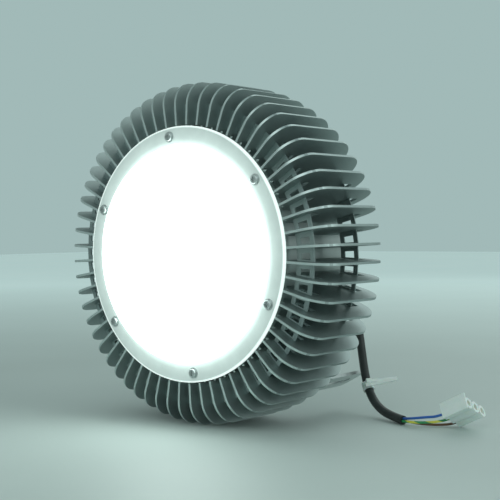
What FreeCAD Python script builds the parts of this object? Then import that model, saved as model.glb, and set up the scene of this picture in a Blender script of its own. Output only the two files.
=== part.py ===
"""LED high bay light: a drum-shaped core ringed by sixty folded sheet fins.

The lamp stands on two neighbouring fins with its axis level and its lens facing -Y.
Lamp bodies are drawn in lamp space: z runs into the lamp from the front face of the
lens flange, x is to the right and y points down, so one placement stands them all up.
The lead, its three wires and the terminal strip are drawn where they lie.
"""
import FreeCAD, Part
import math
import os
import re
import Sketcher

Vec = FreeCAD.Vector
Turn = FreeCAD.Rotation
doc = FreeCAD.newDocument("HighBayLight")
sheet = doc.addObject("Spreadsheet::Sheet", "dims")

DIMENSIONS = {
    # fins: radius, depth and sheet
    "fin_count": 60, "tip_radius": 150, "fin_thickness": 2, "fin_front": 1.5,
    "fin_rear": 101, "fin_root": 102, "fin_collar": 112, "fin_heel": 105.5,
    "front_round": 21, "rear_round": 25, "fin_play": 0.2,
    # tabs folded out of each fin to reach the next
    "tab_inner": 113.7, "tab_outer": 131, "tab_bar": 4, "tab_front": 13.5, "tab_rear": 77,
    "tab_sheet": 1.2, "tab_gap": 0.2, "tab_root": 5, "tab_end": 1.2, "window_length": 13,
    # core
    "core_radius": 104, "core_wall": 4, "core_front": 4.5, "core_floor": 12.5,
    "core_rear": 92, "rim_radius": 110, "rim_rear": 8.5,
    "boss_circle": 95, "boss_radius": 5.5, "wire_hole": 4, "wire_offset": 37,
    # lens, gasket and screws
    "flange_radius": 111, "flange_thickness": 3, "dome_radius": 94, "dome_height": 6.5,
    "shoulder": 4.5, "lens_wall": 2.5, "flange_edge": 0.8, "gasket_inner": 95.5,
    "gasket_outer": 109.5, "screw_count": 6, "screw_circle": 102.8, "screw_phase": 96.9,
    "screw_radius": 2, "screw_hole": 2.3, "screw_depth": 7, "head_radius": 3.8,
    "head_height": 2.4, "washer_radius": 4.8, "washer_height": 0.6,
    # light source
    "board_radius": 88, "board_thickness": 1.6, "board_circle": 82, "board_screw": 1.5,
    "led_size": 5, "led_height": 0.8,
    # driver
    "driver_length": 126, "driver_width": 64, "driver_height": 34, "driver_ear": 10,
    "driver_foot": 3, "driver_screw": 2,
    # rear cover and hanger
    "cover_radius": 103, "cover_thickness": 3, "seal_thickness": 1.5, "seal_inner": 92,
    "hub_radius": 23, "hub_height": 9, "bolt_radius": 5, "bolt_flats": 17, "bolt_head": 6.4,
    "bolt_washer": 10.5, "bolt_washer_height": 2, "bolt_depth": 10,
    "hanger_reach": 139, "hanger_sheet": 3, "hanger_width": 30, "hanger_depth": 60,
    "hanger_angle": 61, "hanger_bend": 6, "ear_round": 9, "ear_hole": 5.25, "ear_inset": 15,
    "slot_half_width": 3.5, "slot_start": 20, "slot_end": 36,
    # cable gland, lead and cable tie
    "gland_circle": 62, "gland_angle": 25, "gland_radius": 8, "gland_flats": 19,
    "gland_collar": 5, "nut_height": 16.5, "nut_hex": 8, "nut_crown": 7.5, "seal_radius": 6,
    "seal_depth": 2, "seal_length": 12, "locknut_flats": 24, "locknut_height": 4,
    "lead_radius": 3.9, "wire_radius": 1.1,
    "tie_bore": 4.2, "tie_radius": 5.3, "tie_width": 3.4, "tie_tail": 27,
    # terminal strip
    "strip_length": 24, "strip_pitch": 11, "barrel_radius": 5.1, "web_length": 17,
    "web_thickness": 3, "wing_low": 6, "tube_radius": 2.7, "tube_bore": 1.6, "tube_length": 20,
    "tower_radius": 3, "tower_height": 8, "tower_offset": 6, "strip_screw": 1.3,
    "strip_screw_head": 2.1, "wing_thickness": 1.6, "strip_hole": 1.7,
}

ALIASES = {alias: "dims." + alias for alias in DIMENSIONS}

for line, (alias, number) in enumerate(DIMENSIONS.items(), start=1):
    sheet.set(f"A{line}", alias)
    sheet.set(f"B{line}", str(number))
    sheet.setAlias(f"B{line}", alias)
doc.recompute()


def value(expression):
    """What an expression in the sheet's aliases comes to."""
    return float(sheet.evalExpression(str(expression)))


def bound(expression):
    """The same expression as other objects write it, with the sheet's name."""
    return re.sub(r"[a-z_]+", lambda word: ALIASES.get(word.group(0), word.group(0)), expression)


AXIS_HEIGHT = value("tip_radius * cos(180 / fin_count) + fin_thickness / 2 * sin(180 / fin_count)")
COVER_REAR = value("core_rear + seal_thickness + cover_thickness")
HANGER_FRONT = COVER_REAR + value("hub_height")
LAMP_FRONT = -value("dome_height")
LAMP_REAR = HANGER_FRONT + value("hanger_depth")
FACE_Y = -(LAMP_FRONT + LAMP_REAR) / 2
LAMP_PLACE = FreeCAD.Placement(Vec(0, FACE_Y, AXIS_HEIGHT), Turn(Vec(1, 0, 0), -90))
NO_MOVE = FreeCAD.Placement()
PARTS = []


# ---------------------------------------------------------------- drawing

def origin_item(body, role):
    """An origin plane or axis of a body, found by its role."""
    return [item for item in body.Origin.OriginFeatures if item.Role == role][0]


def new_body(label):
    """An empty body with a label of its own."""
    body = doc.addObject("PartDesign::Body", label)
    body.Label = label
    return body


def new_sketch(body, name, role="XY_Plane", raised="0"):
    """A sketch on an origin plane, raised along the plane's normal."""
    sketch = body.newObject("Sketcher::SketchObject", name)
    sketch.AttachmentSupport = [(origin_item(body, role), "")]
    sketch.MapMode = "FlatFace"
    if raised != "0":
        sketch.setExpression("AttachmentOffset.Base.z", bound(raised))
    return sketch


def fix_point(sketch, geometry, position, x, y):
    """Ties a point of a sketch to two expressions."""
    for kind, expression in (("DistanceX", x), ("DistanceY", y)):
        number = sketch.addConstraint(Sketcher.Constraint(
            kind, -1, 1, geometry, position, value(expression)))
        sketch.setExpression(f"Constraints[{number}]", bound(expression))


def draw_outline(sketch, corners):
    """A closed polygon whose corners are pairs of expressions."""
    points = [Vec(value(x), value(y), 0) for x, y in corners]
    first = sketch.GeometryCount
    count = len(points)
    for i in range(count):
        sketch.addGeometry(Part.LineSegment(points[i], points[(i + 1) % count]), False)
    for i in range(count):
        following = first + (i + 1) % count
        sketch.addConstraint(Sketcher.Constraint("Coincident", first + i, 2, following, 1))
    for i, (x, y) in enumerate(corners):
        fix_point(sketch, first + i, 1, x, y)


def draw_circle(sketch, x, y, radius):
    """A circle with its centre and radius tied to expressions."""
    circle = Part.Circle(Vec(value(x), value(y), 0), Vec(0, 0, 1), value(radius))
    index = sketch.addGeometry(circle, False)
    fix_point(sketch, index, 3, x, y)
    number = sketch.addConstraint(Sketcher.Constraint("Radius", index, value(radius)))
    sketch.setExpression(f"Constraints[{number}]", bound(radius))


def draw_box(sketch, low_x, low_y, high_x, high_y):
    """A rectangle between two corners."""
    draw_outline(sketch, [(low_x, low_y), (high_x, low_y), (high_x, high_y), (low_x, high_y)])


def revolve(body, name, corners):
    """Turns an outline of (radius, depth) pairs about the body's z axis."""
    sketch = new_sketch(body, name + "_outline", "XZ_Plane")
    draw_outline(sketch, corners)
    feature = body.newObject("PartDesign::Revolution", name)
    feature.Profile = sketch
    feature.ReferenceAxis = (sketch, ["V_Axis"])
    feature.Angle = 360
    doc.recompute()
    return feature


def pad(body, name, sketch, length, midplane=False):
    """Pads a sketch by an expression."""
    feature = body.newObject("PartDesign::Pad", name)
    feature.Profile = sketch
    feature.setExpression("Length", bound(length))
    feature.Midplane = midplane
    doc.recompute()
    return feature


def pocket(body, name, sketch, length, midplane=False):
    """Cuts a sketch towards the plane's normal, and makes sure that it removes something."""
    before = body.Shape.Volume
    feature = body.newObject("PartDesign::Pocket", name)
    feature.Profile = sketch
    feature.setExpression("Length", bound(length))
    feature.Midplane = midplane
    feature.Reversed = not midplane
    doc.recompute()
    if body.Shape.Volume > before - 1e-3:
        raise RuntimeError(f"{name} removed nothing")
    return feature


def holes(body, name, spots, radius, start, length):
    """Round holes along z at pairs of expressions."""
    sketch = new_sketch(body, name + "_outline", "XY_Plane", start)
    for x, y in spots:
        draw_circle(sketch, x, y, radius)
    return pocket(body, name, sketch, length)


def round_edges(body, name, radius, chosen):
    """Fillets the edges of a body that a test picks."""
    edges = [f"Edge{i}" for i, edge in enumerate(body.Shape.Edges, start=1) if chosen(edge)]
    if not edges:
        raise RuntimeError(f"{name} found no edge")
    base = body.Tip
    feature = body.newObject("PartDesign::Fillet", name)
    feature.Base = (base, edges)
    feature.setExpression("Radius", bound(radius))
    doc.recompute()
    return feature


def pattern(body, feature, count):
    """Repeats a feature round the body's z axis."""
    copies = body.newObject("PartDesign::PolarPattern", feature.Name + "_ring")
    copies.Originals = [feature]
    copies.Axis = (origin_item(body, "Z_Axis"), [""])
    copies.Angle = 360
    copies.setExpression("Occurrences", bound(count))
    body.Tip = copies
    doc.recompute()


def keep(body, place=LAMP_PLACE):
    """Places a finished sub-part and lists it for export."""
    body.Placement = place
    PARTS.append(body)
    return body


def group(label, solids, place=LAMP_PLACE):
    """One node of identical pieces, each a solid of its own."""
    node = doc.addObject("Part::Feature", label)
    node.Label = label
    node.Shape = Part.makeCompound(solids) if len(solids) > 1 else solids[0]
    node.Placement = place
    PARTS.append(node)
    return node


def moved(shape, x, y, z=0.0, angle=0.0):
    """A copy of a shape, turned about z and then shifted."""
    copy = shape.copy()
    copy.rotate(Vec(0, 0, 0), Vec(0, 0, 1), angle)
    copy.translate(Vec(x, y, z))
    return copy


def on_circle(circle, degrees):
    """Expressions for a spot on a circle."""
    return f"{circle} * cos({degrees})", f"{circle} * sin({degrees})"


def spots_on(circle, count, first):
    """Expressions for evenly spaced spots on a circle."""
    return [on_circle(circle, first + 360 / count * i) for i in range(count)]


def at_spots(shape, spots, z=0.0):
    """Copies of a shape at pairs of expressions."""
    return [moved(shape, value(x), value(y), z) for x, y in spots]


FIRST_FIN = 180 / value("fin_count")
LENS_SPOTS = spots_on("screw_circle", 6, -96.9)
COVER_SPOTS = spots_on("boss_circle", 6, -66.9)
BOARD_SPOTS = spots_on("board_circle", 6, -66.9)
DRIVER_SPOTS = [(f"{x} * (driver_length + driver_ear) / 2", f"{y} * driver_width / 3")
                for x in (-1, 1) for y in (-1, 1)]
WIRE_SPOT = ("0", "0 - wire_offset")
GLAND_SPOT = on_circle("gland_circle", "gland_angle")
LED_RINGS = [(24, 8), (48, 14), (70, 20)]

# The lead leaves the gland, droops to the floor and ends where its sheath is stripped.
LEAD_ROUTE = [
    (56.2, 26.5, 123.65), (56.2, 49.5, 123.65), (58.6, 71.5, 113.5), (65.4, 85, 96.5),
    (72, 89, 74.5), (80, 81.5, 52.5), (89.5, 72, 33), (100, 64.5, 17.5), (114.5, 56, 8.5),
    (132, 47.5, 4.6), (149.5, 38.5, 4)]
# Its three wires spread from there to the poles of the strip.
WIRE_ROUTES = {
    "earth_wire": [(149.4, 37.4, 3.3), (159.6, 33.2, 4), (171, 34, 4.6), (180, 40, 5.2),
                   (188.1, 45, 6.9), (196, 46.1, 10.9)],
    "neutral_wire": [(149.9, 38.3, 5.4), (161, 33.5, 7.2), (174, 33, 9.6), (186.5, 34.9, 11.2),
                     (197.7, 36.4, 16.8)],
    "live_wire": [(150.4, 39.3, 3.3), (161, 38.5, 2.6), (172, 42.5, 1.8), (181, 49, 1.6),
                  (189, 54.8, 2.3), (196.9, 55.9, 6.4)],
}
TIE_SPOT = Vec(94.75, 68.25, 25.25)
TIE_AXIS = Vec(-0.52, 0.371, 0.767)
TIE_TAIL = Vec(0.697, 0.705, 0.131)
# The strip leans on the foot of its farthest barrel, held up by its stiff wires.
STRIP_ALONG = Vec(0.8849, 0.12, 0.45)
STRIP_ACROSS = Vec(0.0886, 0.9052, -0.4156)
STRIP_UP = STRIP_ALONG.cross(STRIP_ACROSS)
STRIP_HEIGHT = (value("strip_length / 2") * STRIP_ALONG.z
                - value("strip_pitch") * STRIP_ACROSS.z
                + value("barrel_radius") * math.sqrt(1 - STRIP_ALONG.z ** 2))
STRIP_PLACE = FreeCAD.Placement(Vec(203, 47, STRIP_HEIGHT),
                                Turn(STRIP_ALONG, STRIP_ACROSS, STRIP_UP))


# ---------------------------------------------------------------- heat sink

def make_fin():
    """One fin: a blank with rounded outer corners, two windows and the tabs folded from them."""
    body = new_body("fin_pattern")
    blank = new_sketch(body, "blank_outline", "XZ_Plane")
    draw_outline(blank, [
        ("fin_root", "rim_rear + fin_play"), ("fin_collar", "rim_rear + fin_play"),
        ("fin_collar", "fin_front"), ("tip_radius", "fin_front"), ("tip_radius", "fin_rear"),
        ("fin_heel", "fin_rear"), ("fin_heel", "core_rear - fin_play"),
        ("fin_root", "core_rear - fin_play")])
    pad(body, "blank", blank, "fin_thickness", midplane=True)
    for depth, radius in (("fin_front", "front_round"), ("fin_rear", "rear_round")):
        corner = Vec(value("tip_radius"), 0, value(depth))
        round_edges(body, depth + "_corner", radius,
                    lambda edge: (edge.CenterOfMass - corner).Length < 0.01)
    windows = new_sketch(body, "windows_outline", "XZ_Plane")
    for start in ("tab_front", "tab_rear"):
        draw_box(windows, "tab_inner", f"{start} + tab_sheet",
                 "tab_outer", f"{start} + window_length")
    pocket(body, "windows", windows, "fin_thickness + 1", midplane=True)
    for start in ("tab_front", "tab_rear"):
        add_tab(body, start)
    return body.Shape


def add_tab(body, start):
    """A tab square to the fin, with a square hole in it, that stops just short of the next fin."""
    slope = "tan(360 / fin_count)"
    lean = "fin_thickness / 2 / cos(360 / fin_count) - tab_gap"
    far = "{0} * " + slope + " - " + lean
    sketch = new_sketch(body, start + "_outline", "XY_Plane", start)
    inner, outer = "tab_inner", "tab_outer"
    draw_outline(sketch, [(inner, "fin_thickness / 4"), (outer, "fin_thickness / 4"),
                          (outer, far.format(outer)), (inner, far.format(inner))])
    low, high = "(tab_inner + tab_bar)", "(tab_outer - tab_bar)"
    draw_outline(sketch, [(low, "tab_root"), (high, "tab_root"),
                          (high, far.format(high) + " - tab_end"),
                          (low, far.format(low) + " - tab_end")])
    pad(body, start + "_tab", sketch, "tab_sheet")


def make_fins():
    """The ring of fins. Two of them straddle the lowest point, so the lamp stands on both."""
    fin = make_fin()
    count = int(value("fin_count"))
    pitch = 360.0 / count
    group("heat_sink_fins", [moved(fin, 0, 0, 0, pitch * (i + 0.5)) for i in range(count)])


def make_core():
    """The turned core: a drum with a rim in front and a groove for every fin's root."""
    body = new_body("heat_sink_core")
    revolve(body, "drum", [
        ("0", "core_front"), ("rim_radius", "core_front"), ("rim_radius", "rim_rear"),
        ("core_radius", "rim_rear"), ("core_radius", "core_rear"),
        ("core_radius - core_wall", "core_rear"), ("core_radius - core_wall", "core_floor"),
        ("0", "core_floor")])
    bosses = new_sketch(body, "bosses_outline", "XY_Plane", "core_floor - 1")
    for x, y in COVER_SPOTS:
        draw_circle(bosses, x, y, "boss_radius")
    pad(body, "bosses", bosses, "core_rear - core_floor + 1")
    holes(body, "cover_threads", COVER_SPOTS, "screw_radius", "core_rear - 9", "9")
    holes(body, "lens_threads", LENS_SPOTS, "screw_radius", "core_front", "screw_depth")
    holes(body, "board_threads", BOARD_SPOTS, "board_screw", "core_front", "5")
    holes(body, "driver_threads", DRIVER_SPOTS, "driver_screw", "core_floor - 6", "6")
    holes(body, "wire_way", [WIRE_SPOT], "wire_hole", "core_front", "core_floor - core_front")
    slot = new_sketch(body, "fin_slot_outline", "XZ_Plane")
    slot.AttachmentOffset = FreeCAD.Placement(Vec(), Turn(Vec(0, 1, 0), FIRST_FIN))
    draw_box(slot, "fin_root", "rim_rear", "rim_radius", "core_rear + 5")
    grooves = pocket(body, "fin_slot", slot, "fin_thickness", midplane=True)
    pattern(body, grooves, "fin_count")
    keep(body)


# ---------------------------------------------------------------- screws

def screw(label, shank, length, head_radius="head_radius", head_height="head_height"):
    """A pan-head screw with a cross recess, its head towards -z and its seat at z = 0."""
    body = new_body(label)
    revolve(body, "turned", [
        ("0", f"0 - {head_height}"), (head_radius, f"0 - {head_height}"), (head_radius, "0"),
        (shank, "0"), (shank, length), ("0", length)])
    round_edges(body, "crown", f"{head_height} * 0.45",
                lambda edge: edge.CenterOfMass.z < 0.01 - value(head_height))
    recess = new_sketch(body, "recess_outline", "XY_Plane", f"0 - {head_height}")
    arm, half = f"{head_radius} * 0.55", f"{head_radius} * 0.12"
    draw_outline(recess, [
        (arm, f"0 - {half}"), (arm, half), (half, half), (half, arm), (f"0 - {half}", arm),
        (f"0 - {half}", half), (f"0 - {arm}", half), (f"0 - {arm}", f"0 - {half}"),
        (f"0 - {half}", f"0 - {half}"), (f"0 - {half}", f"0 - {arm}"), (half, f"0 - {arm}"),
        (half, f"0 - {half}")])
    pocket(body, "recess", recess, f"{head_height} * 0.6")
    return body.Shape


def facing_back(shape):
    """A shape turned end for end, for what is put in from behind."""
    copy = shape.copy()
    copy.rotate(Vec(0, 0, 0), Vec(1, 0, 0), 180)
    return copy


def ring(label, inner, outer, front, thickness):
    """A flat ring from a turned rectangle."""
    body = new_body(label)
    revolve(body, "turned", [(inner, front), (outer, front), (outer, f"{front} + {thickness}"),
                             (inner, f"{front} + {thickness}")])
    return body


# ---------------------------------------------------------------- lens and light source

def make_lens():
    """The moulded cover: a shallow dome on a flat flange with six screw holes."""
    body = new_body("lens_cover")
    inside = "dome_radius - lens_wall"
    revolve(body, "moulding", [
        ("0", "0 - dome_height"), ("dome_radius", "0 - dome_height"), ("dome_radius", "0"),
        ("flange_radius", "0"), ("flange_radius", "flange_thickness"),
        (inside, "flange_thickness"), (inside, "lens_wall - dome_height"),
        ("0", "lens_wall - dome_height")])
    front, rim = -value("dome_height"), value("dome_radius")
    round_edges(body, "shoulder_round", "shoulder",
                lambda edge: at_rim(edge, rim, front))
    round_edges(body, "inside_round", "shoulder - lens_wall",
                lambda edge: at_rim(edge, rim - value("lens_wall"), front + value("lens_wall")))
    round_edges(body, "flange_round", "flange_edge",
                lambda edge: at_rim(edge, value("flange_radius"), 0))
    holes(body, "screw_holes", LENS_SPOTS, "screw_hole", "0", "flange_thickness")
    keep(body)


def at_rim(edge, radius, depth):
    """Whether an edge is the circle of this radius at this depth."""
    box = edge.BoundBox
    return abs(box.XMax - radius) < 0.01 and abs(box.ZMin - depth) < 0.01 and box.ZLength < 0.01


def make_lens_fixings():
    """The gasket behind the flange, and the six screws with their washers."""
    gasket = ring("lens_gasket", "gasket_inner", "gasket_outer", "flange_thickness",
                  "core_front - flange_thickness")
    holes(gasket, "screw_holes", LENS_SPOTS, "screw_hole", "flange_thickness",
          "core_front - flange_thickness")
    keep(gasket)
    washer = ring("washer_pattern", "screw_hole", "washer_radius", "0", "washer_height")
    height = value("washer_height")
    group("lens_washers", at_spots(washer.Shape, LENS_SPOTS, -height))
    length = "washer_height + core_front + screw_depth - 0.5"
    lens_screw = screw("lens_screw_pattern", "screw_radius", length)
    group("lens_screws", at_spots(lens_screw, LENS_SPOTS, -height))


def make_light_source():
    """The round board, its screws and three rings of emitters."""
    board = new_body("led_board")
    disc = new_sketch(board, "disc_outline", "XY_Plane", "core_front - board_thickness")
    draw_circle(disc, "0", "0", "board_radius")
    pad(board, "disc", disc, "board_thickness")
    holes(board, "screw_holes", BOARD_SPOTS, "board_screw + 0.2",
          "core_front - board_thickness", "board_thickness")
    holes(board, "wire_way", [WIRE_SPOT], "wire_hole - 1", "core_front - board_thickness",
          "board_thickness")
    keep(board)
    front = value("core_front - board_thickness")
    small = screw("board_screw_pattern", "board_screw", "board_thickness + 4.5", "2.8", "1.8")
    group("board_screws", at_spots(small, BOARD_SPOTS, front))
    emitter = new_body("emitter_pattern")
    square = new_sketch(emitter, "square_outline")
    side = "led_size / 2"
    draw_box(square, f"0 - {side}", f"0 - {side}", side, side)
    pad(emitter, "package", square, "led_height")
    solids = []
    for radius, count in LED_RINGS:
        for i in range(count):
            angle = math.radians(360 / count * (i + 0.5))
            spot = radius * math.cos(angle), radius * math.sin(angle)
            solids.append(moved(emitter.Shape, *spot, front - value("led_height")))
    group("led_emitters", solids)


# ---------------------------------------------------------------- driver

def make_driver():
    """The driver's closed case with an ear at each end, on the core's floor."""
    body = new_body("driver_case")
    half, width = "driver_length / 2", "driver_width / 2"
    ears = new_sketch(body, "ears_outline", "XY_Plane", "core_floor")
    reach = f"({half} + driver_ear)"
    draw_box(ears, f"0 - {reach}", f"0 - {width}", reach, width)
    pad(body, "ears", ears, "driver_foot")
    case = new_sketch(body, "case_outline", "XY_Plane", "core_floor")
    draw_box(case, f"0 - {half}", f"0 - {width}", half, width)
    pad(body, "case", case, "driver_height")
    top = value("core_floor + driver_height")
    round_edges(body, "case_round", "2", lambda edge: edge.BoundBox.ZMin > top - 0.01)
    holes(body, "screw_holes", DRIVER_SPOTS, "driver_screw + 0.2", "core_floor", "driver_foot")
    keep(body)
    fixing = facing_back(screw("driver_screw_pattern", "driver_screw", "driver_foot + 5"))
    group("driver_screws", at_spots(fixing, DRIVER_SPOTS, value("core_floor + driver_foot")))


# ---------------------------------------------------------------- rear cover and hanger

def make_rear_cover():
    """The turned rear cover with its hub, the gasket under it and its six screws."""
    gasket = ring("cover_gasket", "seal_inner", "cover_radius", "core_rear", "seal_thickness")
    holes(gasket, "screw_holes", COVER_SPOTS, "screw_hole", "core_rear", "seal_thickness")
    keep(gasket)
    body = new_body("rear_cover")
    front = "core_rear + seal_thickness"
    rear = f"{front} + cover_thickness"
    revolve(body, "turned", [
        ("0", front), ("cover_radius", front), ("cover_radius", rear), ("hub_radius", rear),
        ("hub_radius", f"{rear} + hub_height"), ("0", f"{rear} + hub_height")])
    holes(body, "screw_holes", COVER_SPOTS, "screw_hole", front, "cover_thickness")
    holes(body, "gland_hole", [GLAND_SPOT], "gland_radius", front, "cover_thickness")
    holes(body, "bolt_thread", [("0", "0")], "bolt_radius",
          f"{rear} + hub_height - bolt_depth", "bolt_depth")
    keep(body)
    fixing = facing_back(screw("cover_screw_pattern", "screw_radius",
                               "cover_thickness + seal_thickness + 8"))
    group("cover_screws", at_spots(fixing, COVER_SPOTS, COVER_REAR))


def make_hanger():
    """A strap bent to a U, bolted to the hub, with a round and a long hole in each ear."""
    body = new_body("hanger_bracket")
    front = "core_rear + seal_thickness + cover_thickness + hub_height"
    rear = f"{front} + hanger_depth"
    inner = "(hanger_reach - hanger_sheet)"
    outline = new_sketch(body, "strap_outline", "XZ_Plane")
    draw_outline(outline, [
        ("0 - hanger_reach", front), ("hanger_reach", front), ("hanger_reach", rear),
        (inner, rear), (inner, f"{front} + hanger_sheet"),
        (f"0 - {inner}", f"{front} + hanger_sheet"), (f"0 - {inner}", rear),
        ("0 - hanger_reach", rear)])
    pad(body, "strap", outline, "hanger_width", midplane=True)
    round_edges(body, "outer_bend", "hanger_bend",
                lambda edge: along_width(edge, value("hanger_reach"), HANGER_FRONT))
    round_edges(body, "inner_bend", "hanger_bend - hanger_sheet",
                lambda edge: along_width(edge, value("hanger_reach - hanger_sheet"),
                                         HANGER_FRONT + value("hanger_sheet")))
    round_edges(body, "ear_ends", "ear_round",
                lambda edge: edge.BoundBox.ZMin > LAMP_REAR - 0.01 and edge.BoundBox.YLength < 1)
    bolt = new_sketch(body, "bolt_hole_outline", "XY_Plane", front)
    draw_circle(bolt, "0", "0", "bolt_radius + 0.25")
    pocket(body, "bolt_hole", bolt, "hanger_sheet")
    cross_cut(body, "ear_hole", lambda sketch: draw_circle(
        sketch, "0", f"{rear} - ear_inset", "ear_hole"))
    low, high = f"{front} + slot_start", f"{front} + slot_end"
    cross_cut(body, "slot", lambda sketch: draw_box(
        sketch, "0 - slot_half_width", low, "slot_half_width", high))
    cross_cut(body, "slot_ends", lambda sketch: [
        draw_circle(sketch, "0", depth, "slot_half_width") for depth in (low, high)])
    angle = FreeCAD.Placement(Vec(), Turn(Vec(0, 0, 1), value("hanger_angle")))
    keep(body, LAMP_PLACE.multiply(angle))


def along_width(edge, reach, depth):
    """Whether an edge of the strap runs across it at this reach and depth."""
    box = edge.BoundBox
    middle = edge.CenterOfMass
    across = box.XLength < 0.01 and box.ZLength < 0.01
    return across and abs(abs(middle.x) - reach) < 0.01 and abs(middle.z - depth) < 0.01


def cross_cut(body, name, draw):
    """A cut through both ears, drawn on the plane between them."""
    sketch = new_sketch(body, name + "_outline", "YZ_Plane")
    draw(sketch)
    pocket(body, name, sketch, "hanger_reach * 2 + 2", midplane=True)


def hexagon(sketch, x, y, flats):
    """A hexagon about a spot, from its width across flats."""
    corners = [(f"{x} + {flats} / sqrt(3) * cos({60 * i})", f"{y} + {flats} / sqrt(3) * sin({60 * i})")
               for i in range(6)]
    draw_outline(sketch, corners)


def make_hanger_bolt():
    """The hexagon bolt that holds the strap to the hub, and its washer."""
    seat = HANGER_FRONT + value("hanger_sheet")
    washer = new_body("hanger_washer")
    disc = new_sketch(washer, "disc_outline")
    draw_circle(disc, "0", "0", "bolt_washer")
    draw_circle(disc, "0", "0", "bolt_radius + 0.25")
    pad(washer, "disc", disc, "bolt_washer_height")
    keep(washer, lifted(0, 0, seat))
    bolt = new_body("hanger_bolt")
    head = new_sketch(bolt, "head_outline")
    hexagon(head, "0", "0", "bolt_flats")
    pad(bolt, "head", head, "bolt_head")
    shank = new_sketch(bolt, "shank_outline", "XY_Plane",
                       "1 - bolt_washer_height - hanger_sheet - bolt_depth")
    draw_circle(shank, "0", "0", "bolt_radius")
    pad(bolt, "shank", shank, "bolt_washer_height + hanger_sheet + bolt_depth - 1")
    keep(bolt, lifted(0, 0, seat + value("bolt_washer_height")))


def lifted(x, y, depth):
    """The placement of something drawn about a spot of lamp space."""
    return LAMP_PLACE.multiply(FreeCAD.Placement(Vec(x, y, depth), Turn()))


# ---------------------------------------------------------------- cable gland and lead

def make_gland():
    """The gland's body, seal, dome nut and locknut, round the place where the lead leaves."""
    x, y = value(GLAND_SPOT[0]), value(GLAND_SPOT[1])
    stub = "cover_thickness + locknut_height"
    body = new_body("gland_body")
    collar = new_sketch(body, "collar_outline")
    hexagon(collar, "0", "0", "gland_flats")
    pad(body, "collar", collar, "gland_collar")
    thread = new_sketch(body, "thread_outline", "XY_Plane", f"0 - ({stub})")
    draw_circle(thread, "0", "0", "gland_radius")
    pad(body, "thread", thread, f"{stub} + gland_collar + nut_hex / 2")
    holes(body, "lead_way", [("0", "0")], "lead_radius", f"0 - ({stub})", f"{stub} + seal_depth")
    holes(body, "seal_seat", [("0", "0")], "seal_radius", "seal_depth", "gland_collar + nut_hex")
    keep(body, lifted(x, y, COVER_REAR))
    nut = new_body("gland_nut")
    blank = new_sketch(nut, "hex_outline")
    hexagon(blank, "0", "0", "gland_flats")
    pad(nut, "hex", blank, "nut_hex")
    revolve(nut, "crown", [("0", "0"), ("gland_flats / 2", "0"), ("gland_flats / 2", "nut_hex"),
                           ("nut_crown", "nut_height"), ("0", "nut_height")])
    holes(nut, "thread", [("0", "0")], "gland_radius", "0", "nut_hex")
    holes(nut, "seal_seat", [("0", "0")], "seal_radius", "0",
          "seal_depth + seal_length - gland_collar")
    holes(nut, "mouth", [("0", "0")], "lead_radius", "0", "nut_height")
    keep(nut, lifted(x, y, COVER_REAR + value("gland_collar")))
    seal = ring("gland_seal", "lead_radius", "seal_radius", "seal_depth", "seal_length")
    keep(seal, lifted(x, y, COVER_REAR))
    locknut = new_body("gland_locknut")
    blank = new_sketch(locknut, "hex_outline")
    hexagon(blank, "0", "0", "locknut_flats")
    draw_circle(blank, "0", "0", "gland_radius")
    pad(locknut, "hex", blank, "locknut_height")
    keep(locknut, lifted(x, y, COVER_REAR - value("cover_thickness + locknut_height")))


def route_path(points):
    """Straight runs joined by tangent arcs, each as large as its two runs allow."""
    edges = []
    radii = []
    start = points[0]
    for before, here, after in zip(points, points[1:], points[2:]):
        came, goes = before - here, after - here
        turn = math.pi - came.getAngle(goes)
        trim = 0.45 * min(came.Length, goes.Length)
        radius = trim / math.tan(turn / 2)
        first = here + came.normalize() * trim
        last = here + goes.normalize() * trim
        inward = (came + goes).normalize()
        middle = here + inward * (radius / math.cos(turn / 2) - radius)
        edges += [Part.LineSegment(start, first).toShape(), Part.Arc(first, middle, last).toShape()]
        radii.append(radius)
        start = last
    edges.append(Part.LineSegment(start, points[-1]).toShape())
    return Part.Wire(edges), radii


def tube(label, points, radius):
    """A round cord along its route, with its length, radii and volume printed."""
    points = [Vec(*point) for point in points]
    path, radii = route_path(points)
    circle = Part.Circle(points[0], points[1] - points[0], radius)
    section = Part.Wire([circle.toShape()])
    solid = path.makePipeShell([section], True, False)
    share = solid.Volume / (math.pi * radius ** 2 * path.Length)
    print(f"{label}: length {path.Length:.1f}, smallest radius {min(radii):.1f}, "
          f"{min(radii) / radius / 2:.1f} diameters, volume / section x length {share:.4f}")
    group(label, [solid], NO_MOVE)
    return path


def make_lead():
    """The lead from the gland down to the floor, its three wires and the cable tie on it."""
    tube("lead", LEAD_ROUTE, value("lead_radius"))
    for label, route in WIRE_ROUTES.items():
        tube(label, route, value("wire_radius"))


def make_cable_ties():
    """Two ties pulled tight side by side round the lead, each with its head and its tail."""
    body = new_body("tie_pattern")
    loop = new_sketch(body, "loop_outline")
    draw_circle(loop, "0", "0", "tie_radius")
    draw_circle(loop, "0", "0", "tie_bore")
    pad(body, "loop", loop, "tie_width", midplane=True)
    head = new_sketch(body, "head_outline")
    draw_box(head, "tie_radius - 0.6", "0 - 2.6", "tie_radius + 3", "2.6")
    pad(body, "head", head, "tie_width + 0.4", midplane=True)
    tail = new_sketch(body, "tail_outline")
    draw_box(tail, "tie_radius + 0.4", "2", "tie_radius + 1.6", "tie_tail")
    pad(body, "tail", tail, "tie_width - 0.6", midplane=True)
    apart = value("tie_width / 2 + 0.3")
    ties = [moved(body.Shape, 0, 0, side * apart, 6 * side) for side in (-1, 1)]
    place = FreeCAD.Placement(TIE_SPOT, Turn(TIE_TAIL.cross(TIE_AXIS), TIE_TAIL, TIE_AXIS))
    group("cable_ties", ties, place)


# ---------------------------------------------------------------- terminal strip

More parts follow.
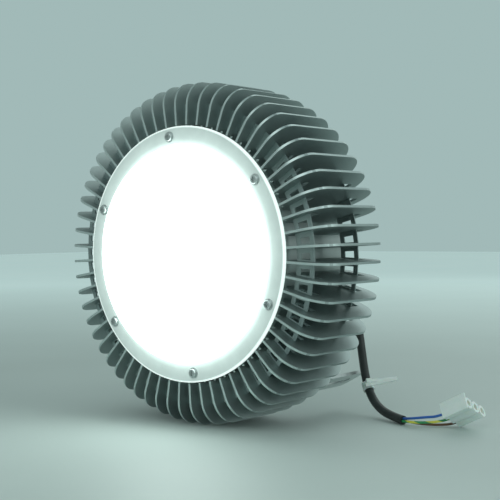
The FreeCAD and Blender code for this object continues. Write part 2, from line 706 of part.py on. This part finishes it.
def make_strip():
    """The three-pole strip: moulding, brass tubes and clamping screws, drawn flat."""
    pitch = "strip_pitch"
    poles = [f"{i} * {pitch}" for i in (-1, 0, 1)]
    half, side = "strip_length / 2", f"({pitch} + barrel_radius)"
    body = new_body("terminal_strip")
    web = new_sketch(body, "web_outline", "XY_Plane", "0 - web_thickness / 2")
    draw_box(web, "0 - web_length / 2", f"0 - {side}", "web_length / 2", pitch)
    pad(body, "web", web, "web_thickness")
    barrels = new_sketch(body, "barrels_outline", "YZ_Plane")
    for pole in poles:
        draw_circle(barrels, pole, "0", "barrel_radius")
    pad(body, "barrels", barrels, "strip_length", midplane=True)
    wing = new_sketch(body, "wing_outline", "XY_Plane", "0 - wing_low")
    draw_box(wing, f"0 - {half}", f"0 - {side}", half, f"wing_thickness - {side}")
    pad(body, "wing", wing, "wing_low + tower_height")
    towers = new_sketch(body, "towers_outline")
    spots = [(f"{x} * tower_offset", pole) for x in (-1, 1) for pole in poles]
    for x, y in spots:
        draw_circle(towers, x, y, "tower_radius")
    pad(body, "towers", towers, "tower_height")
    bores = new_sketch(body, "bores_outline", "YZ_Plane")
    for pole in poles:
        draw_circle(bores, pole, "0", "tube_radius")
    pocket(body, "bores", bores, "strip_length + 1", midplane=True)
    holes(body, "screw_ways", spots, "strip_screw_head", "0", "tower_height")
    between = [("0", f"{x} * {pitch} / 2") for x in (-1, 1)]
    holes(body, "fixing_holes", between, "strip_hole", "0 - web_thickness / 2",
          "web_thickness")
    keep(body, STRIP_PLACE)
    brass = new_body("brass_pattern")
    section = new_sketch(brass, "tube_outline", "YZ_Plane")
    draw_circle(section, "0", "0", "tube_radius")
    draw_circle(section, "0", "0", "tube_bore")
    pad(brass, "tube", section, "tube_length", midplane=True)
    holes(brass, "threads", [("tower_offset", "0"), ("0 - tower_offset", "0")], "strip_screw",
          "0", "tube_radius")
    group("terminal_tubes", at_spots(brass.Shape, [("0", pole) for pole in poles]), STRIP_PLACE)
    clamp = facing_back(screw("terminal_screw_pattern", "strip_screw", "tube_radius - wire_radius + 0.7",
                              "strip_screw_head - 0.2", "1.8"))
    group("terminal_screws", at_spots(clamp, spots, value("tube_radius + 0.7")), STRIP_PLACE)


# ---------------------------------------------------------------- all together

def export():
    """Writes each sub-part to its own file, once every object has come out sound."""
    doc.recompute()
    for item in doc.Objects:
        if {"Invalid", "Error"} & set(item.State):
            raise RuntimeError(f"{item.Label}: {item.State}")
    os.makedirs("parts", exist_ok=True)
    for part in PARTS:
        if part.Shape.isNull() or not part.Shape.isValid():
            raise RuntimeError(f"{part.Label} has no sound shape")
        part.Shape.exportStep(f"parts/{part.Label}.step")
        box = part.Shape.BoundBox
        print(f"{part.Label}: {len(part.Shape.Solids)} solids, {part.Shape.Volume / 1000:.1f} cm3, "
              f"X {box.XMin:.1f} {box.XMax:.1f} Y {box.YMin:.1f} {box.YMax:.1f} "
              f"Z {box.ZMin:.1f} {box.ZMax:.1f}")


make_fins()
make_core()
make_lens()
make_lens_fixings()
make_light_source()
make_driver()
make_rear_cover()
make_hanger()
make_hanger_bolt()
make_gland()
make_lead()
make_cable_ties()
make_strip()
export()
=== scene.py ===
"""The high bay light dressed over its CAD frame: finishes, lead and wires, floor and light."""
import math
import bpy
from mathutils import Matrix, Vector


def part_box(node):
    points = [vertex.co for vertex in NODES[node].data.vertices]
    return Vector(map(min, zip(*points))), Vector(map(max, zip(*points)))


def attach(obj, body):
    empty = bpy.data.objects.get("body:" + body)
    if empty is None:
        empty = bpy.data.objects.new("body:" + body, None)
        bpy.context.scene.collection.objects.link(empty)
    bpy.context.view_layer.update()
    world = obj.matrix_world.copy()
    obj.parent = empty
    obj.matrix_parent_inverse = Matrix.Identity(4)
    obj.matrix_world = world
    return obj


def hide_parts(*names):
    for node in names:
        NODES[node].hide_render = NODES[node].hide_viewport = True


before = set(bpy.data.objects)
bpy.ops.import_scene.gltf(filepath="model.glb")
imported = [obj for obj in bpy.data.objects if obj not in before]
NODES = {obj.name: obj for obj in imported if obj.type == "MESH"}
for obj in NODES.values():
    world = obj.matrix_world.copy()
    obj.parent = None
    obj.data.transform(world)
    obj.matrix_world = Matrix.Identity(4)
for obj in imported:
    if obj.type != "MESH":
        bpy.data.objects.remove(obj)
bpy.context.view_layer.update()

FLANGE_LOW, FLANGE_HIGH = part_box("lens_gasket")
AXIS_HEIGHT = (FLANGE_LOW[2] + FLANGE_HIGH[2]) / 2
FLANGE_FACE = FLANGE_LOW[1] - 0.003
DOME_RADIUS = 0.094
TAB_FACES = (-0.066, -0.0025)
LAMP_TINT = (0.88, 1.0, 0.97)
DOME_GLOW = 4.0
WIRE_DIAMETER = 0.0022
BACKDROP = (0.36, 0.49, 0.48, 1)


# ------------------------------------------------------------ camera

def make_camera():
    """The photograph's view: from the front right, level with the lamp's axis."""
    data = bpy.data.cameras.new("camera")
    data.lens = 80.58
    data.sensor_width = 36
    data.clip_end = 20
    camera = bpy.data.objects.new("camera", data)
    bpy.context.scene.collection.objects.link(camera)
    right = Vector((0.78063, 0.62489, -0.01140))
    up = Vector((-0.00301, 0.02199, 0.99975))
    back = Vector((0.62499, -0.78040, 0.01904))
    turn = Matrix((right, up, back)).transposed().to_4x4()
    face = Vector((0, FLANGE_FACE, AXIS_HEIGHT))
    camera.matrix_world = Matrix.Translation(face + Vector((0.65146, -0.7185, 0.0215))) @ turn
    bpy.context.scene.camera = camera


# ------------------------------------------------------------ shader helpers

def set_value(shader, **values):
    """Sets sockets of a shader by their names, with underscores for spaces."""
    for name, value in values.items():
        shader.inputs[name.replace("_", " ")].default_value = value


class Shade:
    """A material's node tree, with short ways to add to it."""

    def __init__(self, name, **values):
        self.material = bpy.data.materials.new(name)
        self.material.use_nodes = True
        self.tree = self.material.node_tree
        self.shader = self.tree.nodes["Principled BSDF"]
        set_value(self.shader, **values)

    def add(self, kind, settings=None, **inputs):
        """A node of a kind, with properties and inputs that are numbers or other sockets."""
        node = self.tree.nodes.new(kind)
        for name, value in (settings or {}).items():
            setattr(node, name, value)
        for name, value in inputs.items():
            self.feed(node.inputs[name.replace("_", " ")], value)
        return node

    def feed(self, socket, value):
        """Links a socket, or sets a plain value."""
        if isinstance(value, bpy.types.NodeSocket):
            self.tree.links.new(value, socket)
        else:
            socket.default_value = value

    def calc(self, operation, *values):
        """A Math node's result."""
        node = self.add("ShaderNodeMath", {"operation": operation})
        for i, value in enumerate(values):
            self.feed(node.inputs[i], value)
        return node.outputs[0]

    def place(self):
        """The point's place in the row frame, since every object sits at the origin."""
        return self.add("ShaderNodeTexCoord").outputs["Object"]

    def scaled(self, vector, scale):
        """A place stretched along the axes."""
        mapping = self.add("ShaderNodeMapping", {"vector_type": "POINT"}, Vector=vector, Scale=scale)
        return mapping.outputs[0]

    def noise(self, vector, scale, detail=3.0, roughness=0.55):
        """Noise from 0 to 1 at a place."""
        node = self.add("ShaderNodeTexNoise", Vector=vector, Scale=scale, Detail=detail,
                        Roughness=roughness)
        return node.outputs[0]

    def ramp(self, factor, *stops):
        """A colour ramp through (position, colour) stops."""
        node = self.add("ShaderNodeValToRGB", Fac=factor)
        elements = node.color_ramp.elements
        while len(elements) < len(stops):
            elements.new(0.5)
        for element, (position, colour) in zip(elements, stops):
            element.position = position
            element.color = (*colour, 1)
        return node.outputs[0]

    def span(self, value, low, high, to_low, to_high):
        """A value moved from one range to another, held at its ends."""
        node = self.add("ShaderNodeMapRange", Value=value, From_Min=low, From_Max=high,
                        To_Min=to_low, To_Max=to_high)
        return node.outputs[0]

    def bump(self, height, strength, distance):
        """Roughens the surface by a height."""
        node = self.add("ShaderNodeBump", Height=height, Strength=strength, Distance=distance)
        self.tree.links.new(node.outputs[0], self.shader.inputs["Normal"])

    def link(self, socket_name, value):
        """Feeds one of the shader's own sockets."""
        self.tree.links.new(value, self.shader.inputs[socket_name])


# ------------------------------------------------------------ materials

def edge_highlight_mask(shade):
    """Mask of the painted highlight: 1 on the fins' sheared front edges, less on the others, 0 on
    faces and folded tabs.
    """
    parts = shade.add("ShaderNodeSeparateXYZ", Vector=shade.place())
    rise = shade.calc("SUBTRACT", parts.outputs[2], AXIS_HEIGHT)
    turned = shade.add("ShaderNodeCombineXYZ", X=shade.calc("MULTIPLY", rise, -1.0), Y=0.0,
                       Z=parts.outputs[0])
    across = shade.add("ShaderNodeVectorMath", {"operation": "NORMALIZE"})
    shade.feed(across.inputs[0], turned.outputs[0])
    facing = shade.add("ShaderNodeVectorMath", {"operation": "DOT_PRODUCT"})
    shade.feed(facing.inputs[0], across.outputs[0])
    shade.feed(facing.inputs[1], shade.add("ShaderNodeNewGeometry").outputs["True Normal"])
    edge = shade.calc("LESS_THAN", shade.calc("ABSOLUTE", facing.outputs["Value"]), 0.5)
    for tab_face in TAB_FACES:
        away = shade.calc("ABSOLUTE", shade.calc("SUBTRACT", parts.outputs[1], tab_face))
        edge = shade.calc("MULTIPLY", edge, shade.calc("GREATER_THAN", away, 0.0015))
    return shade.calc("MULTIPLY", edge, shade.span(parts.outputs[1], -0.066, -0.05, 1, 0.1))


def fin_metal():
    """Mill-finish aluminium sheet: dull and satin, with rolling lines and a painted highlight that
    lightens the cut edges.
    """
    shade = Shade("fin_metal", Metallic=0.85)
    place = shade.place()
    cloud = shade.noise(place, 22, 4)
    face = shade.ramp(cloud, (0.3, (0.36, 0.43, 0.43)), (0.75, (0.45, 0.52, 0.51)))
    edge = edge_highlight_mask(shade)
    # painted highlight: the cut edges are mixed to a lighter colour than the faces
    mix = shade.add("ShaderNodeMix", {"data_type": "RGBA"})
    shade.feed(mix.inputs[0], edge)
    shade.feed(mix.inputs[6], face)
    shade.feed(mix.inputs[7], (0.60, 0.69, 0.68, 1))
    shade.link("Base Color", mix.outputs[2])
    dull = shade.span(cloud, 0.3, 0.7, 0.44, 0.56)
    shade.link("Roughness", shade.calc("SUBTRACT", dull, shade.calc("MULTIPLY", edge, 0.08)))
    lines = shade.noise(shade.scaled(place, (900, 60, 900)), 1.0, 2)
    shade.bump(lines, 0.15, 0.0002)
    return shade.material


def turned_metal():
    """Turned aluminium, with fine rings about the lamp's axis."""
    shade = Shade("turned_metal", Metallic=1.0)
    place = shade.place()
    cloud = shade.noise(place, 30)
    shade.link("Base Color", shade.ramp(cloud, (0.3, (0.46, 0.51, 0.50)), (0.8, (0.60, 0.65, 0.64))))
    shade.link("Roughness", shade.span(cloud, 0.3, 0.7, 0.3, 0.42))
    centred = shade.add("ShaderNodeVectorMath", {"operation": "SUBTRACT"})
    shade.feed(centred.inputs[0], place)
    centred.inputs[1].default_value = (0, 0, AXIS_HEIGHT)
    rings = shade.add("ShaderNodeTexWave", {"wave_type": "RINGS", "rings_direction": "Y"},
                      Vector=centred.outputs[0], Scale=380, Distortion=0.6)
    shade.bump(rings.outputs[1], 0.12, 0.0002)
    return shade.material


def zinc():
    """Zinc-plated steel, satin with faint mottling."""
    shade = Shade("zinc", Metallic=1.0)
    cloud = shade.noise(shade.place(), 180, 4)
    shade.link("Base Color", shade.ramp(cloud, (0.3, (0.54, 0.59, 0.59)), (0.75, (0.68, 0.72, 0.71))))
    shade.link("Roughness", shade.span(cloud, 0.3, 0.7, 0.34, 0.46))
    shade.bump(cloud, 0.06, 0.0002)
    return shade.material


def radius_from_axis(shade):
    """Distance from the lamp's axis, in metres."""
    parts = shade.add("ShaderNodeSeparateXYZ", Vector=shade.place())
    rise = shade.calc("SUBTRACT", parts.outputs[2], AXIS_HEIGHT)
    square = shade.calc("ADD", shade.calc("POWER", parts.outputs[0], 2.0),
                        shade.calc("POWER", rise, 2.0))
    return shade.calc("SQRT", square)


def opal():
    """The lens: the dome glows white, the flange passes less light and its edge glows again."""
    shade = Shade("opal", Roughness=0.25, IOR=1.49, Subsurface_Weight=0.0)
    radius = radius_from_axis(shade)
    cloud = shade.noise(shade.place(), 45)
    # painted shade: the flange gets a darker copy of the dome's opal colour, the dome a lighter, lit
    # one
    flange = shade.ramp(cloud, (0.3, (0.46, 0.54, 0.52)), (0.7, (0.56, 0.64, 0.62)))
    dome = shade.ramp(cloud, (0.3, (0.78, 0.86, 0.83)), (0.7, (0.84, 0.91, 0.88)))
    mix = shade.add("ShaderNodeMix", {"data_type": "RGBA"})
    shade.feed(mix.inputs[0], shade.calc("LESS_THAN", radius, DOME_RADIUS + 0.001))
    shade.feed(mix.inputs[6], flange)
    shade.feed(mix.inputs[7], dome)
    shade.link("Base Color", mix.outputs[2])
    glow = shade.add("ShaderNodeValToRGB", Fac=shade.span(radius, 0.088, 0.112, 0, 1))
    stops = [(0.0, DOME_GLOW), (0.24, 3.4), (0.31, 0.55), (0.5, 0.3), (0.88, 0.22), (0.93, 0.8),
             (1.0, 0.9)]
    elements = glow.color_ramp.elements
    while len(elements) < len(stops):
        elements.new(0.5)
    for element, (position, level) in zip(elements, stops):
        element.position = position
        share = level / DOME_GLOW
        element.color = (share, share, share, 1)
    shade.link("Emission Strength", shade.calc("MULTIPLY", glow.outputs[0], DOME_GLOW))
    set_value(shade.shader, Emission_Color=(0.88, 1.0, 0.96, 1))
    return shade.material


def plain_plastic(name, dark, light, roughness, grain=420, strength=0.08):
    """A moulded plastic with a fine grain and a slight change of tone."""
    shade = Shade(name, Roughness=roughness)
    place = shade.place()
    shade.link("Base Color", shade.ramp(shade.noise(place, 60), (0.3, dark), (0.7, light)))
    shade.bump(shade.noise(place, grain, 2), strength, 0.0002)
    return shade.material


def earth_insulation():
    """Green insulation with a yellow stripe that winds slowly round it."""
    shade = Shade("earth_insulation", Roughness=0.35)
    parts = shade.add("ShaderNodeSeparateXYZ", Vector=shade.place())
    wave = shade.calc("SINE", shade.calc("ADD", shade.calc("MULTIPLY", parts.outputs[0], 260.0),
                                        shade.calc("MULTIPLY", parts.outputs[2], 900.0)))
    shade.link("Base Color", shade.ramp(shade.span(wave, -1, 1, 0, 1), (0.44, (0.03, 0.30, 0.10)),
                                        (0.56, (0.82, 0.78, 0.10))))
    return shade.material


def natural_nylon():
    """Unpigmented nylon or polythene, milky and slightly clear."""
    shade = Shade("natural_nylon", Roughness=0.3, IOR=1.5, Subsurface_Weight=0.15,
                  Subsurface_Scale=0.004)
    place = shade.place()
    shade.link("Base Color", shade.ramp(
        shade.noise(place, 90), (0.3, (0.82, 0.90, 0.87)), (0.7, (0.90, 0.96, 0.94))))
    shade.bump(shade.noise(place, 500, 2), 0.05, 0.0002)
    return shade.material


def brass():
    """Machined brass."""
    shade = Shade("brass", Metallic=1.0)
    cloud = shade.noise(shade.place(), 250)
    shade.link("Base Color", shade.ramp(cloud, (0.3, (0.62, 0.48, 0.22)), (0.7, (0.78, 0.64, 0.34))))
    shade.link("Roughness", shade.span(cloud, 0.3, 0.7, 0.2, 0.35))
    return shade.material


def emitter():
    """Yellow phosphor."""
    shade = Shade("emitter", Roughness=0.35, Emission_Strength=1.2,
                  Emission_Color=(1.0, 0.96, 0.82, 1))
    shade.link("Base Color", shade.ramp(
        shade.noise(shade.place(), 900), (0.3, (0.9, 0.72, 0.2)), (0.7, (0.98, 0.86, 0.4))))
    return shade.material


# ------------------------------------------------------------ the lead and its wires

MILLIMETRE = 0.001
LEAD_ROUTE = [
    (56.2, 26.5, 123.65), (56.2, 49.5, 123.65), (58.6, 71.5, 113.5), (65.4, 85, 96.5),
    (72, 89, 74.5), (80, 81.5, 52.5), (89.5, 72, 33), (100, 64.5, 17.5), (114.5, 56, 8.5),
    (132, 47.5, 4.6), (149.5, 38.5, 4)]
WIRE_ROUTES = {
    "earth_wire": [(149.4, 37.4, 3.3), (159.6, 33.2, 4), (171, 34, 4.6), (180, 40, 5.2),
                   (188.1, 45, 6.9), (196, 46.1, 10.9)],
    "neutral_wire": [(149.9, 38.3, 5.4), (161, 33.5, 7.2), (174, 33, 9.6), (186.5, 34.9, 11.2),
                     (197.7, 36.4, 16.8)],
    "live_wire": [(150.4, 39.3, 3.3), (161, 38.5, 2.6), (172, 42.5, 1.8), (181, 49, 1.6),
                  (189, 54.8, 2.3), (196.9, 55.9, 6.4)],
}
LEAD_DIAMETER = 0.0078


def make_cord(node, route, diameter, material):
    """A cord as a smooth spline through its route, standing for its CAD tube."""
    data = bpy.data.curves.new(node + "_line", "CURVE")
    data.dimensions = "3D"
    data.bevel_depth = diameter / 2
    data.bevel_resolution = 6
    data.resolution_u = 12
    data.use_fill_caps = True
    spline = data.splines.new("NURBS")
    spline.points.add(len(route) - 1)
    for point, place in zip(spline.points, route):
        point.co = (*(axis * MILLIMETRE for axis in place), 1)
    spline.order_u = 3
    spline.use_endpoint_u = True
    piece = bpy.data.objects.new(node + "_run", data)
    bpy.context.scene.collection.objects.link(piece)
    piece.data.materials.append(material)
    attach(piece, "root")
    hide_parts(node)
    return piece


def make_cords():
    """The lead from the gland to its stripped end, and the three wires on to the strip."""
    sheath = plain_plastic("sheath", (0.018, 0.022, 0.022), (0.036, 0.042, 0.042), 0.45, 300, 0.1)
    lead = make_cord("lead", LEAD_ROUTE, LEAD_DIAMETER, sheath)
    insulation = {
        "earth_wire": (earth_insulation(), "wire_green"),
        "neutral_wire": (plain_plastic("blue_insulation", (0.02, 0.10, 0.42), (0.04, 0.16, 0.55),
                                       0.35), "wire_blue"),
        "live_wire": (plain_plastic("brown_insulation", (0.13, 0.06, 0.03), (0.2, 0.1, 0.05),
                                    0.35), "wire_brown")}
    for node, route in WIRE_ROUTES.items():
        material, slot = insulation[node]
        wire = make_cord(node, route, WIRE_DIAMETER, material)


# ------------------------------------------------------------ finishes of the CAD pieces

def dress(material, *names):
    """Gives CAD nodes a material."""
    for name in names:
        slots = NODES[name].data.materials
        slots.clear()
        slots.append(material)


def dress_frame():
    """Every CAD piece that shows gets its finish."""
    dress(fin_metal(), "heat_sink_fins")
    dress(turned_metal(), "heat_sink_core", "rear_cover")
    dress(opal(), "lens_cover")
    dress(zinc(), "lens_screws", "lens_washers", "board_screws", "driver_screws", "cover_screws",
          "hanger_bracket", "hanger_bolt", "hanger_washer", "terminal_screws")
    dress(plain_plastic("grey_rubber", (0.26, 0.29, 0.28), (0.34, 0.37, 0.36), 0.6),
          "lens_gasket", "cover_gasket", "gland_seal")
    dress(plain_plastic("white_resist", (0.84, 0.86, 0.84), (0.9, 0.91, 0.9), 0.4), "led_board")
    dress(plain_plastic("white_paint", (0.68, 0.70, 0.69), (0.76, 0.78, 0.77), 0.35), "driver_case")
    dress(plain_plastic("black_nylon", (0.02, 0.023, 0.023), (0.04, 0.044, 0.044), 0.42),
          "gland_body", "gland_nut", "gland_locknut")
    dress(natural_nylon(), "terminal_strip", "cable_ties")
    dress(brass(), "terminal_tubes")
    dress(emitter(), "led_emitters")


# ------------------------------------------------------------ floor and light

def make_floor():
    """A plain pale floor that runs into the backdrop's tone where the lights no longer reach."""
    mesh = bpy.data.meshes.new("floor")
    side = 6
    corners = [(-side, -side, 0), (side, -side, 0), (side, side, 0), (-side, side, 0)]
    mesh.from_pydata(corners, [], [(0, 1, 2, 3)])
    floor = bpy.data.objects.new("floor", mesh)
    bpy.context.scene.collection.objects.link(floor)
    shade = Shade("floor", Roughness=0.55)
    shade.link("Base Color", shade.ramp(
        shade.noise(shade.place(), 3), (0.3, (0.52, 0.59, 0.57)), (0.7, (0.55, 0.62, 0.60))))
    far = shade.add("ShaderNodeVectorMath", {"operation": "LENGTH"})
    shade.feed(far.inputs[0], shade.place())
    seen = shade.add("ShaderNodeLightPath").outputs["Is Camera Ray"]
    fade = shade.span(far.outputs["Value"], 0.5, 2.6, 0, 0.75)
    shade.link("Emission Strength", shade.calc("MULTIPLY", fade, seen))
    set_value(shade.shader, Emission_Color=BACKDROP)
    mesh.materials.append(shade.material)


def area_light(name, place, size, power):
    """A square soft light at a place, aimed at the middle of the lamp."""
    data = bpy.data.lights.new(name, "AREA")
    data.shape = "SQUARE"
    data.size = size
    data.energy = power
    data.color = LAMP_TINT
    light = bpy.data.objects.new(name, data)
    light.location = place
    light.rotation_mode = "QUATERNION"
    light.rotation_quaternion = (Vector((0, 0, AXIS_HEIGHT)) - Vector(place)).to_track_quat("-Z", "Y")
    bpy.context.scene.collection.objects.link(light)


def make_world():
    """A plain pale backdrop, and round the lamp a room that is pale low down and dim above."""
    world = bpy.data.worlds.new("world")
    bpy.context.scene.world = world
    world.use_nodes = True
    tree = world.node_tree
    links = tree.links
    background = tree.nodes["Background"]
    background.inputs["Strength"].default_value = 1.0
    direction = tree.nodes.new("ShaderNodeTexCoord")
    parts = tree.nodes.new("ShaderNodeSeparateXYZ")
    links.new(direction.outputs["Generated"], parts.inputs[0])
    room = tree.nodes.new("ShaderNodeValToRGB")
    links.new(parts.outputs[2], room.inputs["Fac"])
    stops = [(0.0, (0.40, 0.48, 0.47)), (0.35, (0.28, 0.35, 0.34)), (1.0, (0.16, 0.22, 0.22))]
    room.color_ramp.elements.new(0.5)
    for element, (position, colour) in zip(room.color_ramp.elements, stops):
        element.position = position
        element.color = (*colour, 1)
    seen = tree.nodes.new("ShaderNodeLightPath")
    mix = tree.nodes.new("ShaderNodeMix")
    mix.data_type = "RGBA"
    links.new(seen.outputs["Is Camera Ray"], mix.inputs[0])
    links.new(room.outputs[0], mix.inputs[6])
    mix.inputs[7].default_value = BACKDROP
    links.new(mix.outputs[2], background.inputs["Color"])


def make_light():
    """Soft studio lights round the lamp."""
    make_world()
    area_light("key", (0.5, -1.4, 1.5), 1.8, 11)
    area_light("fill", (1.8, 0.3, 0.9), 1.8, 9)
    area_light("rim", (-0.1, 1.7, 1.6), 2.2, 13)
    bpy.context.scene.view_settings.view_transform = "Standard"


make_camera()
make_cords()
dress_frame()
make_floor()
make_light()
